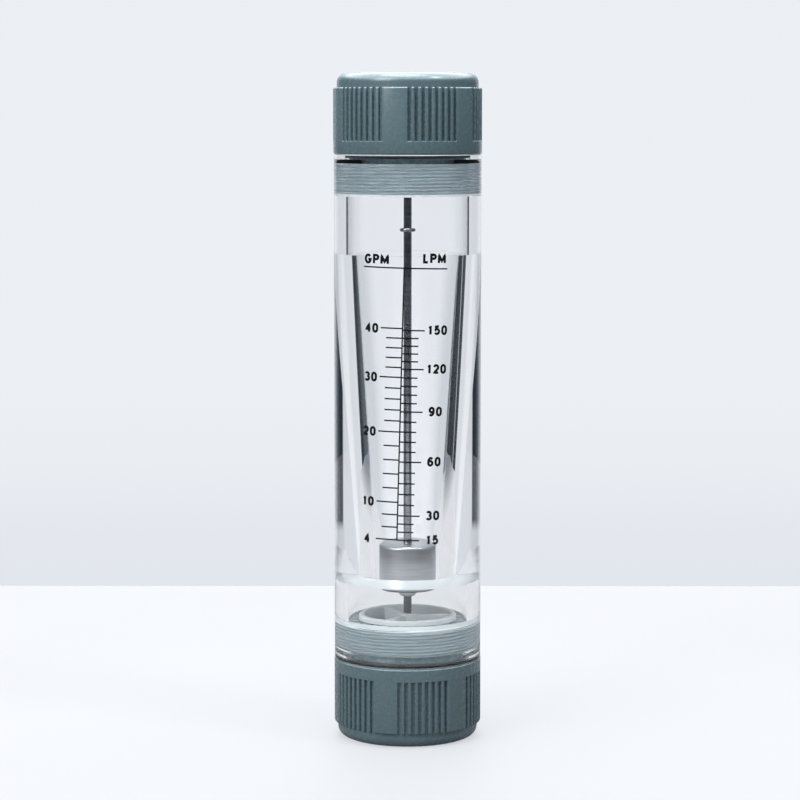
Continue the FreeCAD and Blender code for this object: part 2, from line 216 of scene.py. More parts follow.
# Colours round the meter, by degrees to either side of straight behind it. Glass sees the panels, but the
# clear panels where a ray falls between the panels' foot and STEEP, and the wide panels on the right where
# it falls more steeply than that. Gloss sees the room's sides.
HALF_TURN = 180
PALE_MIDDLE = ((0, WALL_MIDDLE), (12, WALL_MIDDLE), (24, WALL_SIDE))
GREY_SIDE = ((78, GREY), (102, GREY), (106, DIM))
PANELS = (*PALE_MIDDLE, (49.5, WALL_SIDE), (51, NIGHT), (57, NIGHT), (66, DUSK), (75, DUSK), *GREY_SIDE)
WIDE_PANELS = (*PALE_MIDDLE, (39.5, WALL_SIDE), (41.5, BLACK), (50, BLACK), (51.5, CEILING), (53.5, BLACK),
               (74, BLACK), *GREY_SIDE)
CLEAR_PANELS = (*PALE_MIDDLE, (46, WALL_SIDE), (50, WALL_EDGE))
CLEAR_REACH = 100
ROOM_SIDES = ((0, WALL), (26, WALL), (38, ROOM), (120, ROOM), (150, BLACK))

# Spans of a ray's rise, which is the sine of its angle above level
WALL_RISE = (-0.17, -0.1)
CEILING_RISE = (0.35, 0.55)
PANEL_FOOT = (-0.1495, -0.1535)
INNER_RISE = (-0.15, 0.25)
STEEP = -0.164

# From straight behind the meter (0) to straight in front of it (1)
INNER_TURN = (0.35, 0.65)

# A ray whose diffuse depth is above this one has left a matt surface
MATT_DEPTH = 0.5

# Table: corners of its right side. Through glass it fades to dark where it is between these distances from
# the middle, the outer one first. The camera sees its whole glow.
TABLE_SIDE = ((0.56, -0.95), (0.56, 0.0), (0.5, 0.24), (0.38, 0.406))
TABLE_FADE = (0.5, 0.37)
TABLE_GLOW = (0.565, 0.575, 0.6)
GLOW_THROUGH_GLASS = 0.79
GLOW_IN_GLOSS = 0.1
LEAST_GLOW = 0.16

# Lamps: name, place, width, height and watts. The key is at the upper left, a small one at the upper right.
LAMP_AIM = (0, 0, 0.16)
LAMPS = (
    ("key_softbox", (-0.95, -1.05, 1.0), 0.8, 0.7, 15),
    ("spot_softbox", (0.8, -0.5, 1.35), 0.2, 0.2, 8),
    ("top_softbox", (-0.1, -0.15, 1.5), 0.9, 0.8, 20),
)


# ---------------------------------------------------------------- surfaces of turned pieces

class Skin:
    """A closed surface built loop by loop along a profile round the axis."""

    def __init__(self):
        self.vertices = []
        self.faces = []
        self.finishes = []
        self.loops = []

    def loop(self, radius_height, angles, finish=POLISHED):
        """Add one ring of points: a (radius, height) pair, or a function of the angle that gives one."""
        start = len(self.vertices)
        for angle in angles:
            radius, height = radius_height(angle) if callable(radius_height) else radius_height
            self.vertices.append((radius * math.cos(angle), radius * math.sin(angle), height))
        ring = (list(range(start, len(self.vertices))), list(angles))
        if self.loops:
            self.join(self.loops[-1], ring)
        self.mark(finish)
        self.loops.append(ring)

    def profile(self, points, angles, finish=POLISHED):
        """Add a ring for each point of a list."""
        for point in points:
            self.loop(point, angles, finish)

    def mark(self, finish):
        """Note the finish of the faces made since the last mark."""
        self.finishes += [finish] * (len(self.faces) - len(self.finishes))

    def join(self, low, high):
        """Faces between two rings, quads where they have the same count of points."""
        (low_ids, low_angles), (high_ids, high_angles) = low, high
        low_ids = low_ids + low_ids[:1]
        high_ids = high_ids + high_ids[:1]
        if len(low_ids) == len(high_ids):
            for i in range(len(low_ids) - 1):
                self.faces.append((low_ids[i], low_ids[i + 1], high_ids[i + 1], high_ids[i]))
            return
        low_angles = low_angles + [low_angles[0] + math.tau]
        high_angles = high_angles + [high_angles[0] + math.tau]
        i = j = 0
        while i < len(low_ids) - 1 or j < len(high_ids) - 1:
            low_turn = low_angles[i + 1] if i < len(low_ids) - 1 else math.inf
            high_turn = high_angles[j + 1] if j < len(high_ids) - 1 else math.inf
            if low_turn <= high_turn:
                self.faces.append((low_ids[i], low_ids[i + 1], high_ids[j]))
                i += 1
            else:
                self.faces.append((low_ids[i], high_ids[j + 1], high_ids[j]))
                j += 1

    def close_ring(self, finish=POLISHED):
        """Join the last ring to the first."""
        self.join(self.loops[-1], self.loops[0])
        self.mark(finish)

    def close_ends(self):
        """Close the first and the last ring with a fan to the axis."""
        for ring, first in ((self.loops[0], True), (self.loops[-1], False)):
            ids = ring[0]
            centre = len(self.vertices)
            height = self.vertices[ids[0]][2]
            self.vertices.append((0, 0, height))
            for i, one in enumerate(ids):
                other = ids[(i + 1) % len(ids)]
                self.faces.append((centre, other, one) if first else (centre, one, other))
        self.mark(POLISHED)

    def make(self, name):
        """The mesh object, smooth apart from its sharp edges."""
        mesh = bpy.data.meshes.new(name)
        mesh.from_pydata(self.vertices, [], self.faces)
        mesh.polygons.foreach_set("material_index", self.finishes)
        piece = bpy.data.objects.new(name, mesh)
        bpy.context.scene.collection.objects.link(piece)
        surface = bmesh.new()
        surface.from_mesh(mesh)
        bmesh.ops.recalc_face_normals(surface, faces=surface.faces)
        surface.to_mesh(mesh)
        surface.free()
        mesh.shade_smooth()
        mesh.set_sharp_from_angle(angle=SHARP_EDGE)
        return piece


def around(count):
    """Angles in equal steps round the axis."""
    return [math.tau * i / count for i in range(count)]


def arc(centre_radius, centre_height, radius, start, end, steps):
    """Profile points on an arc, its angles in degrees from the outward direction."""
    points = []
    for i in range(steps + 1):
        angle = math.radians(start + (end - start) * i / steps)
        points.append((centre_radius + radius * math.cos(angle),
                       centre_height + radius * math.sin(angle)))
    return points


def thread_depth(turns):
    """Share of the thread's depth, so many turns from the middle of a crest."""
    away = abs((turns + 0.5) % 1.0 - 0.5) * 2
    flank = 1 - THREAD_CREST - THREAD_ROOT
    return min(1.0, max(0.0, (away - THREAD_CREST) / flank))


def run_out(height, low, high, fade):
    """Share of the full thread depth near the ends of a thread."""
    return max(0.0, min(1.0, (height - low) / fade, (high - height) / fade))


def thread_heights(low, high, pitch):
    """Heights of the rings along a thread."""
    count = round((high - low) / pitch * ROWS_PER_TURN)
    return [low + (high - low) * i / count for i in range(count + 1)]


# ---------------------------------------------------------------- shader nodes

def new_material(name):
    """A material with its node tree and its principled shader."""
    material = bpy.data.materials.new(name)
    material.use_nodes = True
    return material, material.node_tree, material.node_tree.nodes["Principled BSDF"]


def add_node(tree, kind, **inputs):
    """A shader node with some of its inputs set."""
    node = tree.nodes.new(kind)
    for key, value in inputs.items():
        node.inputs[key.replace("_", " ")].default_value = value
    return node


def math_node(tree, operation, first, second=None):
    """A math node fed by sockets or numbers."""
    node = tree.nodes.new("ShaderNodeMath")
    node.operation = operation
    for socket, value in zip(node.inputs, (first, second)):
        if value is None:
            continue
        if isinstance(value, (int, float)):
            socket.default_value = value
        else:
            tree.links.new(value, socket)
    return node.outputs[0]


def map_range(tree, source, span, low=0.0, high=1.0):
    """A value between two others as far along as the source is in its span, held at the span's ends."""
    node = add_node(tree, "ShaderNodeMapRange", From_Min=span[0], From_Max=span[1], To_Min=low, To_Max=high)
    tree.links.new(source, node.inputs["Value"])
    return node.outputs["Result"]


def ramp_node(tree, source, stops):
    """Colour ramp over (position, linear colour) stops."""
    ramp = tree.nodes.new("ShaderNodeValToRGB")
    elements = ramp.color_ramp.elements
    while len(elements) < len(stops):
        elements.new(0.5)
    for element, (position, colour) in zip(elements, stops):
        element.position = position
        element.color = (*colour, 1)
    tree.links.new(source, ramp.inputs["Fac"])
    return ramp.outputs["Color"]


def mix_colour(tree, share, first, second):
    """Mix two colours by a share."""
    node = tree.nodes.new("ShaderNodeMix")
    node.data_type = "RGBA"
    tree.links.new(share, node.inputs["Factor"])
    for name, value in (("A", first), ("B", second)):
        socket = next(item for item in node.inputs if item.name == name and item.type == "RGBA")
        if isinstance(value, tuple):
            socket.default_value = (*value, 1)
        else:
            tree.links.new(value, socket)
    return next(item for item in node.outputs if item.type == "RGBA")


# ---------------------------------------------------------------- materials

def noise_of(tree, scale, detail=3.0, stretch=(1, 1, 1)):
    """Noise in object space, stretched along some directions."""
    where = tree.nodes.new("ShaderNodeTexCoord")
    mapping = add_node(tree, "ShaderNodeMapping", Scale=stretch)
    noise = add_node(tree, "ShaderNodeTexNoise", Scale=scale, Detail=detail)
    tree.links.new(where.outputs["Object"], mapping.inputs["Vector"])
    tree.links.new(mapping.outputs["Vector"], noise.inputs["Vector"])
    return noise


def tint(tree, shader, noise, dark, light):
    """Base colour that wanders between two tones."""
    colour = ramp_node(tree, noise.outputs["Fac"], list(zip(NOISE_SPAN, (dark, light))))
    tree.links.new(colour, shader.inputs["Base Color"])


def roughen(tree, shader, noise, low, high):
    """Roughness that wanders between two values."""
    tree.links.new(map_range(tree, noise.outputs["Fac"], NOISE_SPAN, low, high), shader.inputs["Roughness"])


def emboss(tree, shader, noise, strength, distance):
    """Fine bumps from a noise."""
    bump = add_node(tree, "ShaderNodeBump", Strength=strength, Distance=distance)
    tree.links.new(noise.outputs["Fac"], bump.inputs["Height"])
    tree.links.new(bump.outputs["Normal"], shader.inputs["Normal"])


def grey_plastic():
    """Blue-grey moulded plastic with a soft gloss."""
    material, tree, shader = new_material("grey_plastic")
    shader.inputs["IOR"].default_value = PLASTIC_IOR
    tint(tree, shader, noise_of(tree, 60), dark=(0.108, 0.168, 0.192), light=(0.12, 0.184, 0.208))
    roughen(tree, shader, noise_of(tree, 500), low=0.24, high=0.3)
    emboss(tree, shader, noise_of(tree, 1400, detail=2), strength=0.012, distance=0.04 * MM)
    return material


def clear_acrylic():
    """Clear polished acrylic."""
    material, tree, shader = new_material("clear_acrylic")
    shader.inputs["Transmission Weight"].default_value = 1.0
    shader.inputs["IOR"].default_value = ACRYLIC_IOR
    tint(tree, shader, noise_of(tree, 25), dark=(0.985, 0.992, 0.998), light=(0.992, 0.997, 1.0))
    roughen(tree, shader, noise_of(tree, 120), low=0.0, high=0.004)
    return material


def cut_acrylic(name, dark, light, clear):
    """Clear acrylic as a cutter leaves it, hazed by fine tool marks, in a matt tint. A near-white tint is
    partly a painted glow.
    """
    material, tree, shader = new_material(name)
    shader.inputs["Transmission Weight"].default_value = clear
    shader.inputs["IOR"].default_value = ACRYLIC_IOR
    marks = noise_of(tree, 90, stretch=(1, 1, 30))
    tint(tree, shader, marks, dark, light)
    roughen(tree, shader, marks, low=0.12, high=0.18)
    return material


def black_rubber():
    """Moulded nitrile rubber."""
    material, tree, shader = new_material("black_rubber")
    tint(tree, shader, noise_of(tree, 300), dark=(0.036, 0.043, 0.048), light=(0.05, 0.058, 0.064))
    roughen(tree, shader, noise_of(tree, 900), low=0.38, high=0.5)
    emboss(tree, shader, noise_of(tree, 3500, detail=2), strength=0.2, distance=0.05 * MM)
    return material


def white_plastic():
    """Off-white moulded plastic with a soft sheen."""
    material, tree, shader = new_material("white_plastic")
    tint(tree, shader, noise_of(tree, 150), dark=(0.72, 0.755, 0.76), light=(0.78, 0.81, 0.81))
    roughen(tree, shader, noise_of(tree, 700), low=0.42, high=0.52)
    emboss(tree, shader, noise_of(tree, 2500, detail=2), strength=0.15, distance=0.05 * MM)
    return material


def turned_steel(name, stretch, dark, light, low, high):
    """Stainless steel with fine tool marks across one direction."""
    material, tree, shader = new_material(name)
    shader.inputs["Metallic"].default_value = 1.0
    marks = noise_of(tree, 60, detail=4, stretch=stretch)
    tint(tree, shader, marks, dark, light)
    roughen(tree, shader, marks, low, high)
    emboss(tree, shader, marks, strength=0.15, distance=0.04 * MM)
    return material


def rod_steel():
    """Steel of the rod and its stops, darker and smoother."""
    return turned_steel("rod_steel", stretch=(1, 1, 12), dark=(0.3, 0.31, 0.33), light=(0.46, 0.47, 0.49),
                        low=0.1, high=0.18)


def float_steel():
    """Steel of the float, paler and rougher."""
    return turned_steel("float_steel", stretch=(1, 1, 14), dark=(0.52, 0.54, 0.56), light=(0.66, 0.68, 0.7),
                        low=0.3, high=0.42)


def threaded_acrylic():
    """The tube where its threads are cut."""
    return cut_acrylic("threaded_acrylic", dark=(0.43, 0.52, 0.565), light=(0.47, 0.56, 0.605), clear=0.25)


def faced_acrylic_painted_glow():
    """The tube's end faces, outer bevels and lower chamber ceiling: cut haze painted near white, partly a
    painted glow of the light that the acrylic pipes and totally reflects there.
    """
    return cut_acrylic("faced_acrylic_painted_glow", dark=(0.84, 0.9, 0.93), light=(0.88, 0.94, 0.96), clear=0.08)


def black_ink():
    """Screen-printed ink."""
    material, tree, shader = new_material("black_ink")
    tint(tree, shader, noise_of(tree, 2000), dark=(0.006, 0.006, 0.008), light=(0.014, 0.014, 0.017))
    roughen(tree, shader, noise_of(tree, 3000), low=0.14, high=0.22)
    return material


def table_paint():
    """Pale table top. The camera sees its whole glow, gloss and glass a part of it, and the rest the least.

    Through glass its sides are dark.
    """
    material, tree, shader = new_material("table_paint")
    tint(tree, shader, noise_of(tree, 6), dark=(0.13, 0.133, 0.137), light=(0.14, 0.143, 0.147))
    shader.inputs["Roughness"].default_value = 0.6
    shader.inputs["Specular IOR Level"].default_value = 0.1
    shader.inputs["Emission Color"].default_value = (*TABLE_GLOW, 1)
    rays = tree.nodes.new("ShaderNodeLightPath")
    place = tree.nodes.new("ShaderNodeNewGeometry")
    split = tree.nodes.new("ShaderNodeSeparateXYZ")
    tree.links.new(place.outputs["Position"], split.inputs[0])
    middle = map_range(tree, math_node(tree, "ABSOLUTE", split.outputs["X"]), TABLE_FADE)

    side = math_node(tree, "SUBTRACT", 1.0, middle)
    shade = math_node(tree, "MULTIPLY", side, rays.outputs["Is Transmission Ray"])
    paint = shader.inputs["Base Color"].links[0].from_socket
    tree.links.new(mix_colour(tree, shade, paint, BLACK), shader.inputs["Base Color"])

    through = math_node(tree, "MULTIPLY", middle, rays.outputs["Is Transmission Ray"])
    through = math_node(tree, "MULTIPLY", through, GLOW_THROUGH_GLASS)
    mirrored = math_node(tree, "MULTIPLY", rays.outputs["Is Glossy Ray"], GLOW_IN_GLOSS)
    seen = math_node(tree, "MAXIMUM", mirrored, through)
    direct = math_node(tree, "LESS_THAN", rays.outputs["Diffuse Depth"], MATT_DEPTH)
    seen = math_node(tree, "MULTIPLY", seen, direct)
    seen = math_node(tree, "MAXIMUM", rays.outputs["Is Camera Ray"], seen)
    seen = math_node(tree, "MAXIMUM", seen, LEAST_GLOW)
    tree.links.new(seen, shader.inputs["Emission Strength"])
    return material


# ---------------------------------------------------------------- pieces

def stand_for(piece, body, node, material):
    """Give a new piece its material and put it in a CAD node's place."""
    piece.data.materials.append(material)
    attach(piece, body)
    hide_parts(node)


def finish_node(node, material):
    """Give a CAD node its material."""
    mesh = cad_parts[node].data
    mesh.materials.clear()
    mesh.materials.append(material)


def plug_radius(turns, height, low, high):
    """Outside radius of a fitting's threaded plug, heights from the fitting's end face."""
    strength = run_out(height, low, high, PLUG_PITCH)
    radius = PLUG_ROOT + (PLUG_CREST - PLUG_ROOT) * (1 - thread_depth(turns)) * strength
    return min(radius, PLUG_TIP_RADIUS + (high - height) * PLUG_TIP_SLOPE)


def tube_thread_radius(turns, height, low, high):
    """Inside radius of the tube's thread, heights from the end face of its fitting."""
    strength = run_out(height, low, high, PLUG_PITCH)
    reach = PLUG_CREST + TUBE_THREAD_GAP - CHAMBER_RADIUS
    return CHAMBER_RADIUS + reach * (1 - thread_depth(turns)) * strength


def tube_thread_row(node, height, low, high, overall):
    """Ring of the tube's thread for a fitting, at a height from that fitting's end face."""
    upper = node == "upper_fitting"
    level = overall - height if upper else height

    def row(angle):
        onward = TURNS[node] - angle if upper else angle - TURNS[node]
        turns = height / PLUG_PITCH - onward / math.tau
        return tube_thread_radius(turns, height, low, high), level
    return row


def make_tube(polished, threaded, faced_glow):
    """Clear tube with a threaded chamber at each end and a tapered bore between them."""
    base, top = (corner.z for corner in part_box("tube_body"))
    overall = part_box("upper_fitting")[1].z
    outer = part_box("tube_body")[1].x
    entry = POCKET_DEPTH + ENTRY_HEIGHT
    ceiling = base + LOWER_CHAMBER
    shelf = top - UPPER_CHAMBER
    low = base + NECK_LENGTH
    high = low + PLUG_PITCH * TUBE_THREAD_TURNS
    thread = thread_heights(low, high, PLUG_PITCH)
    fine = around(FINE)
    coarse = around(COARSE)
    skin = Skin()
    # End faces and outer bevels get the faced finish: cut haze brightened by a painted glow
    skin.profile([(outer - TUBE_BEVEL, base), (outer, base + TUBE_BEVEL)], fine, FACED_PAINTED_GLOW)
    skin.loop((outer, top - TUBE_BEVEL), fine)
    skin.loop((outer - TUBE_BEVEL, top), fine, FACED_PAINTED_GLOW)
    skin.loop((POCKET_RADIUS, top), coarse, FACED_PAINTED_GLOW)
    skin.profile([(POCKET_RADIUS, top - POCKET_DEPTH), (CHAMBER_RADIUS, top - entry)], coarse)
    for height in thread:
        skin.loop(tube_thread_row("upper_fitting", height, low, high, overall), coarse, THREADED)
    skin.loop((CHAMBER_RADIUS, overall - high - THREAD_RUN_OUT), coarse, FACED_PAINTED_GLOW)
    skin.loop((CHAMBER_RADIUS, shelf), coarse)
    skin.profile([(MOUTH_RADIUS, shelf), (THROAT_RADIUS, ceiling + THROAT_FLARE)], fine)
    # The lower chamber ceiling gets the faced finish: a painted glow for the bright band of totally reflected
    # light there
    skin.loop((CHAMBER_RADIUS, ceiling), coarse, FACED_PAINTED_GLOW)
    skin.loop((CHAMBER_RADIUS, high + THREAD_RUN_OUT), coarse)
    for height in reversed(thread):
        # The pale run gets the faced finish: a near-white band, partly a painted glow
        finish = FACED_PAINTED_GLOW if height > high - PALE_RUN else THREADED
        skin.loop(tube_thread_row("lower_fitting", height, low, high, overall), coarse, finish)
    skin.profile([(CHAMBER_RADIUS, base + entry), (POCKET_RADIUS, base + POCKET_DEPTH),
                  (POCKET_RADIUS, base)], coarse)
    skin.close_ring(FACED_PAINTED_GLOW)
    tube = skin.make("clear_tube")
    stand_for(tube, METER, "tube_body", polished)
    tube.data.materials.append(threaded)
    tube.data.materials.append(faced_glow)


def groove_angles(ring):
    """Angles of a ring's points: close together at the groove walls, wide on the lands."""
    reaches = [reach / ring for reach, share in GROOVE_SHAPE]
    offsets = [-reach for reach in reversed(reaches)] + reaches
    cluster = math.tau / CLUSTERS
    land = cluster - GROOVE_STEP * (GROOVES_IN_CLUSTER - 1) - 2 * reaches[-1]
    angles = []
    for i in range(CLUSTERS):
        for j in range(GROOVES_IN_CLUSTER):
            centre = i * cluster + j * GROOVE_STEP
            angles += [centre + offset for offset in offsets]
        angles += [angles[-1] + land * k / LAND_POINTS for k in range(1, LAND_POINTS)]
    return angles


def groove_share(angle, ring):
    """Share of the groove's depth at an angle: 1 on its floor, 0 on the ring's surface."""
    cluster = math.tau / CLUSTERS
    along = (angle + cluster / 4) % cluster - cluster / 4
    nearest = min(max(round(along / GROOVE_STEP), 0), GROOVES_IN_CLUSTER - 1)
    away = abs(along - nearest * GROOVE_STEP) * ring
    for (inner, deep), (outer, shallow) in zip(GROOVE_SHAPE, GROOVE_SHAPE[1:]):
        if away < outer:
            return deep + (shallow - deep) * max(0.0, away - inner) / (outer - inner)
    return 0.0


def grip_rows(ring, groove_top):
    """Rings of the grooved band, from its rounding at the disc to past the grooves' blind ends."""
    floor = ring - GROOVE_DEPTH

    def grooved(radius, height, share=1.0):
        def row(angle):
            depth = max(0.0, radius - floor) * groove_share(angle, ring) * share
            return radius - depth, height
        return row

    rounding = arc(ring - RING_ROUNDING, DISC_HEIGHT + RING_ROUNDING, RING_ROUNDING, -90, 0,
                   RING_ROUNDING_STEPS)
    rows = [grooved(radius, height) for radius, height in rounding]
    return rows + [grooved(ring, groove_top + beyond, share) for beyond, share in GROOVE_END]


def plug_rows(low, high):
    """Rings of the threaded plug."""
    def threaded(height):
        def row(angle):
            turns = height / PLUG_PITCH - angle / math.tau
            return plug_radius(turns, height, low, high), height
        return row

    return [threaded(height) for height in thread_heights(low, high, PLUG_PITCH)]


def pipe_rows():
    """Rings of the threaded pipe bore, from its floor to its bevelled mouth."""
    def threaded(height):
        def row(angle):
            turns = height / PIPE_PITCH - angle / math.tau
            strength = run_out(height, -PIPE_PITCH, PIPE_DEPTH, PIPE_PITCH)
            radius = PIPE_RADIUS + PIPE_THREAD_DEPTH * (1 - thread_depth(turns)) * strength
            return max(radius, PIPE_RADIUS + PIPE_BEVEL - height), height
        return row

    heights = thread_heights(PIPE_THREAD_START, PIPE_DEPTH, PIPE_PITCH)
    return [threaded(height) for height in reversed(heights)]


def make_fitting(node, material):
    """Moulded fitting: end disc, grooved grip ring, threaded plug and threaded pipe bore."""
    low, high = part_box(node)
    ring = high.x
    length = high.z - low.z
    upper = node == "upper_fitting"
    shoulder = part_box("tube_body")[0].z
    disc = ring - DISC_INSET
    seat = length - SEAT_DEPTHS[node]
    thread_low = shoulder + NECK_LENGTH
    fine = around(FINE)
    coarse = around(COARSE)
    skin = Skin()
    skin.loop((PIPE_RADIUS + PIPE_BEVEL, 0), coarse)
    skin.profile(arc(disc - DISC_ROUNDING, DISC_ROUNDING, DISC_ROUNDING, -90, 0, DISC_ROUNDING_STEPS), fine)
    skin.loop((disc, DISC_HEIGHT), fine)
    skin.profile(grip_rows(ring, shoulder - SMOOTH_BAND), groove_angles(ring))
    skin.profile(arc(ring - RING_ROUNDING, shoulder - RING_ROUNDING, RING_ROUNDING, 0, 90,
                     RING_ROUNDING_STEPS), fine)
    skin.profile([(NECK_RADIUS, shoulder), (NECK_RADIUS, thread_low - THREAD_EDGE)], coarse)
    skin.profile(plug_rows(thread_low, length), coarse)
    skin.profile([(SEAT_RADIUS, length), (SEAT_RADIUS, seat), (FLOW_RADIUS, seat),
                  (FLOW_RADIUS, PIPE_DEPTH)], coarse)
    skin.profile(pipe_rows(), coarse)
    skin.close_ring()
    piece = skin.make(node + "_moulding")
    if upper:
        piece.data.transform(Matrix.Rotation(math.pi, 4, "X"))
    piece.data.transform(Matrix.Rotation(TURNS[node], 4, "Z"))
    piece.data.transform(Matrix.Translation((0, 0, high.z if upper else low.z)))
    stand_for(piece, METER, node, material)


def make_rod(material):
    """Guide rod with turned-down tips and a threaded foot that carries the stop nut."""
    low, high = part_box("guide_rod")
    crest = high.x
    thread_low = low.z + ROD_TIP_LENGTH
    thread_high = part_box("lower_stop_nut")[1].z - FOOT_INSET
    shoulder = high.z - ROD_TIP_LENGTH
    angles = around(ROD_POINTS)

    def foot_row(height):
        def row(angle):
            turns = height / ROD_PITCH - angle / math.tau
            thread = crest - ROD_THREAD_DEPTH * thread_depth(turns)
            ends = ROD_THREAD_DEPTH - min(height - thread_low, thread_high - height)
            return thread - max(0.0, ends) * ROD_THREAD_END_SLOPE, height
        return row

    skin = Skin()
    skin.profile([(ROD_TIP_RADIUS - ROD_BEVEL, low.z), (ROD_TIP_RADIUS, low.z + ROD_BEVEL),
                  (ROD_TIP_RADIUS, thread_low)], angles)
    for height in thread_heights(thread_low, thread_high, ROD_PITCH):
        skin.loop(foot_row(height), angles)
    skin.profile([(ROD_RADIUS, thread_high), (ROD_RADIUS, shoulder - ROD_BEVEL),
                  (ROD_RADIUS - ROD_BEVEL, shoulder), (ROD_TIP_RADIUS, shoulder),
                  (ROD_TIP_RADIUS, high.z - ROD_BEVEL), (ROD_TIP_RADIUS - ROD_BEVEL, high.z)], angles)
    skin.close_ends()
    stand_for(skin.make("steel_guide_rod"), METER, "guide_rod", material)


def make_float(material):
    """Turned float with bevelled ends and a bore for the rod."""
    low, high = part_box("float")
    outer = high.x
    bore = ROD_RADIUS + FLOAT_CLEARANCE
    rim = outer - FLOAT_BEVEL
    foot = low.z + FLOAT_BEVEL
    brow = high.z - FLOAT_BEVEL
    edge = FLOAT_EDGE
    skin = Skin()
    skin.profile([
        (bore, low.z + edge), (bore + edge, low.z),
        (rim - edge, low.z), (rim, low.z + edge / 3),
        (outer - edge / 3, foot), (outer, foot + edge),
        (outer, brow - edge), (outer - edge / 3, brow),
        (rim, high.z - edge / 3), (rim - edge, high.z),
        (bore + edge, high.z), (bore, high.z - edge),
    ], around(COARSE))
    skin.close_ring()
    stand_for(skin.make("steel_float"), FLOAT, "float", material)


# ---------------------------------------------------------------- printed scale

def scale_line_offset(height):
    """Sideways place of the scale's upright line on the tube's surface, in metres from the front."""
    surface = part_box("tube_body")[1].x
    middle = (SCALE_FOOT + HEADER_HEIGHT) / 2
    return SCALE_ANGLE * surface + (height - middle) * math.tan(SCALE_LEAN)


def add_ribbon(ink, path, width):
    """An ink line along a path in the flat print, in short steps so that it can bend round the tube."""
    points = [path[0]]
    for start, end in zip(path, path[1:]):
        steps = max(1, math.ceil((end - start).length / MM))
        points += [start.lerp(end, i / steps) for i in range(1, steps + 1)]
    closed = len(path) > 2 and (path[0] - path[-1]).length < width / 100
    if closed:
        points.pop()
    rows = []
    for i, point in enumerate(points):
        first = i == 0 and not closed
        last = i == len(points) - 1 and not closed
        out = (points[(i + 1) % len(points)] - point).normalized() if not last else None
        into = (point - points[i - 1]).normalized() if not first else out
        along = (into + (out or into)).normalized()
        reach = width / 2 / max(MITRE_LIMIT, along.dot(into))
        sideways = Vector((-along.y, along.x)) * reach
        rows.append([ink.verts.new((*(point + sideways * side), depth))
                     for side in (-1, 1) for depth in (0, INK_THICKNESS)])
    for low, high in zip(rows, rows[1:] + rows[:1] if closed else rows[1:]):
        for one, other in ((0, 1), (1, 3), (3, 2), (2, 0)):
            ink.faces.new((low[one], low[other], high[other], high[one]))
    if not closed:
        for row in (rows[0], rows[-1]):
            ink.faces.new((row[0], row[1], row[3], row[2]))


def add_bar(ink, across, height, length, width):
    """A leaned straight ink line, centred on a spot of the flat print."""
    half = Matrix.Rotation(-SCALE_LEAN, 2) @ Vector((length / 2, 0))
    middle = Vector((across, height))
    add_ribbon(ink, [middle - half, middle + half], width)


def bow(across, up, half_width, half_height, start, end):
    """Points on an arc of an ellipse, its angles in degrees."""
    points = []
    for i in range(BOW_STEPS + 1):
        angle = math.radians(start + (end - start) * i / BOW_STEPS)
        points.append((across + half_width * math.cos(angle), up + half_height * math.sin(angle)))
    return points


def glyph_strokes(sign):
    """Pen strokes of a bold upright letter or digit in a square of side 1, and its width."""
    bowl = bow(0.5, 0.3, 0.5, 0.3, 0, 360)
    six = [bowl, bow(0.58, 0.42, 0.58, 0.58, 200, 48)]
    return {
        "0": ([bow(0.5, 0.66, 0.5, 0.34, 0, 180) + bow(0.5, 0.34, 0.5, 0.34, 180, 360) + [(1.0, 0.66)]], 0.6),
        "1": ([[(0.2, 0.73), (0.42, 0.8), (0.62, 1)], [(0.64, 1.08), (0.64, -0.08)]], 0.54),
        "2": ([bow(0.5, 0.7, 0.5, 0.3, 170, -30) + [(0.0, 0.0), (1.05, 0.0)]], 0.6),
        "3": ([bow(0.48, 0.75, 0.44, 0.25, 155, -90), bow(0.48, 0.26, 0.52, 0.26, 90, -155)], 0.6),
        "4": ([[(0.72, -0.08), (0.72, 1.0), (0.0, 0.3), (1.08, 0.3)]], 0.62),
        "5": ([[(0.95, 1.0), (0.2, 1.0), (0.08, 0.5)] + bow(0.47, 0.33, 0.53, 0.33, 140, -152)], 0.6),
        "6": (six, 0.6),
        "9": ([[(1 - x, 1 - y) for x, y in stroke] for stroke in six], 0.6),
        "G": ([bow(0.5, 0.5, 0.5, 0.5, 42, 325) + [(1.0, 0.44), (0.52, 0.44)]], 0.74),
        "P": ([[(0.0, -0.08), (0.0, 1.0)] + bow(0.58, 0.74, 0.42, 0.26, 90, -90) + [(0.0, 0.48)]], 0.62),
        "M": ([[(0.0, -0.08), (0.0, 1.0), (0.5, 0.12), (1.0, 1.0), (1.0, -0.08)]], 0.8),
        "L": ([[(0.0, 1.08), (0.0, 0.0), (1.05, 0.0)]], 0.54),
    }[sign]


def add_words(ink, words, across, height, size):
    """Leaned bold lettering in the flat print, its capitals this high, centred on a spot."""
    pen = size * PEN_SHARE
    widths = [glyph_strokes(sign)[1] * size * LETTER_STRETCH for sign in words]
    left = -(sum(widths) + LETTER_GAP * (len(words) - 1)) / 2
    turn = Matrix.Rotation(-SCALE_LEAN, 2)
    for sign, width in zip(words, widths):
        for stroke in glyph_strokes(sign)[0]:
            path = []
            for x, y in stroke:
                flat = Vector((left + pen / 2 + x * (width - pen), pen / 2 + y * (size - pen) - size / 2))
                path.append(turn @ flat + Vector((across, height)))
            add_ribbon(ink, path, pen)
        left += width + LETTER_GAP


